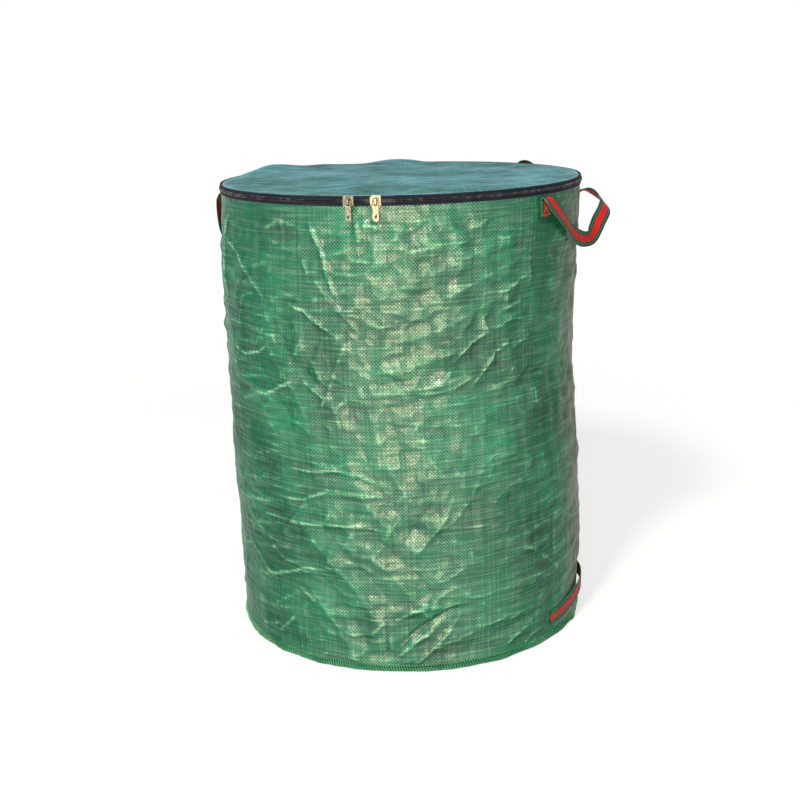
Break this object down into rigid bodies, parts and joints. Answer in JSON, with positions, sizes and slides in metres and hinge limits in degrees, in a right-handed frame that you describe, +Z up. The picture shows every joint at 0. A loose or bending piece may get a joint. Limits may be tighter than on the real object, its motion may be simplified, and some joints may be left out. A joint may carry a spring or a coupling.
{
  "type": "pop up leaf bag",
  "caption": "Free-standing sprung round garden bag in green woven tarpaulin, with a zipped round lid, striped webbing handles and a low grab strap.",
  "frame": {"origin": "centre of the round base, on the floor", "axes": "+Z up through the middle of the base, -Y to the front where the two zip sliders meet, +X to the side of the low grab strap"},
  "size_m": [0.6169, 0.5693, 0.7276],
  "materials": {
    "tarpaulin": "semi-gloss woven",
    "overlock_thread": "matte stitched",
    "zip_tape": "matte woven",
    "zip_coil": "satin",
    "nickel": "nickel plated",
    "webbing": "matte woven stripes",
    "spring_steel": "drawn wire",
    "vinyl": "soft moulded"
  },
  "bodies": {
    "root": {"wall_panel": "tarpaulin", "base_panel": "tarpaulin", "base_hem": "tarpaulin", "spring_casing": "tarpaulin", "base_seam_overlock": "overlock_thread", "pop_up_spring": "spring_steel", "base_hoop": "spring_steel", "base_hoop_ferrule": "spring_steel", "spring_lower_cap": "vinyl", "base_handle_front_end": "webbing", "base_handle_rear_end": "webbing", "base_handle_strap": "webbing"},
    "top": {"rim_hem": "tarpaulin", "rim_hoop": "spring_steel", "rim_hoop_ferrule": "spring_steel", "spring_upper_cap": "vinyl", "lower_zip_tape": "zip_tape", "lower_zip_coil": "zip_coil", "left_zip_stop": "nickel", "right_zip_stop": "nickel", "lid_hinge_tape": "zip_tape", "right_handle_front_end": "webbing", "right_handle_rear_end": "webbing", "left_handle_front_end": "webbing", "left_handle_rear_end": "webbing", "hang_loop_near_end": "webbing", "hang_loop_far_end": "webbing", "hang_loop_strap": "webbing"},
    "lid": {"lid_panel": "tarpaulin", "upper_zip_tape": "zip_tape", "upper_zip_coil": "zip_coil"},
    "left_slider": {"left_slider_body": "nickel", "left_slider_bridge": "nickel"},
    "right_slider": {"right_slider_body": "nickel", "right_slider_bridge": "nickel"},
    "left_pull": {"left_pull_tab": "nickel"},
    "right_pull": {"right_pull_tab": "nickel"},
    "right_handle": {"right_handle_strap": "webbing"},
    "left_handle": {"left_handle_strap": "webbing"}
  },
  "joints": [
    {"name": "collapse", "type": "slide", "parent": "root", "child": "top", "axis": [0, 0, 1], "range_m": [-0.59, 0], "stiffness_N_per_m": 40, "springref_m": 0.25, "deforming": ["wall_panel", "pop_up_spring", "spring_casing"]},
    {"name": "lid_open", "type": "hinge", "parent": "top", "child": "lid", "pos_m": [0, 0.2815, 0.7131], "axis": [-1, 0, 0], "range_deg": [0, 250]},
    {"name": "left_slider_travel", "type": "hinge", "parent": "top", "child": "left_slider", "pos_m": [0, 0, 0.7056], "axis": [0, 0, -1], "range_deg": [-2, 148.8]},
    {"name": "right_slider_travel", "type": "hinge", "parent": "top", "child": "right_slider", "pos_m": [0, 0, 0.7056], "axis": [0, 0, 1], "range_deg": [-2, 169.5]},
    {"name": "left_pull_swing", "type": "hinge", "parent": "left_slider", "child": "left_pull", "pos_m": [-0.07016, -0.27726, 0.7056], "axis": [-0.9694, 0.2453, 0], "range_deg": [0, 170]},
    {"name": "right_pull_swing", "type": "hinge", "parent": "right_slider", "child": "right_pull", "pos_m": [-0.03238, -0.28416, 0.7056], "axis": [-0.9936, 0.1132, 0], "range_deg": [0, 170]},
    {"name": "right_handle_lift", "type": "hinge", "parent": "top", "child": "right_handle", "pos_m": [0.21135, -0.1903, 0.6943], "axis": [-0.309, -0.9511, 0], "range_deg": [0, 110], "deforming": ["right_handle_strap"]},
    {"name": "left_handle_lift", "type": "hinge", "parent": "top", "child": "left_handle", "pos_m": [-0.2844, 0, 0.6943], "axis": [0.342, 0.9397, 0], "range_deg": [0, 110], "deforming": ["left_handle_strap"]}
  ]
}
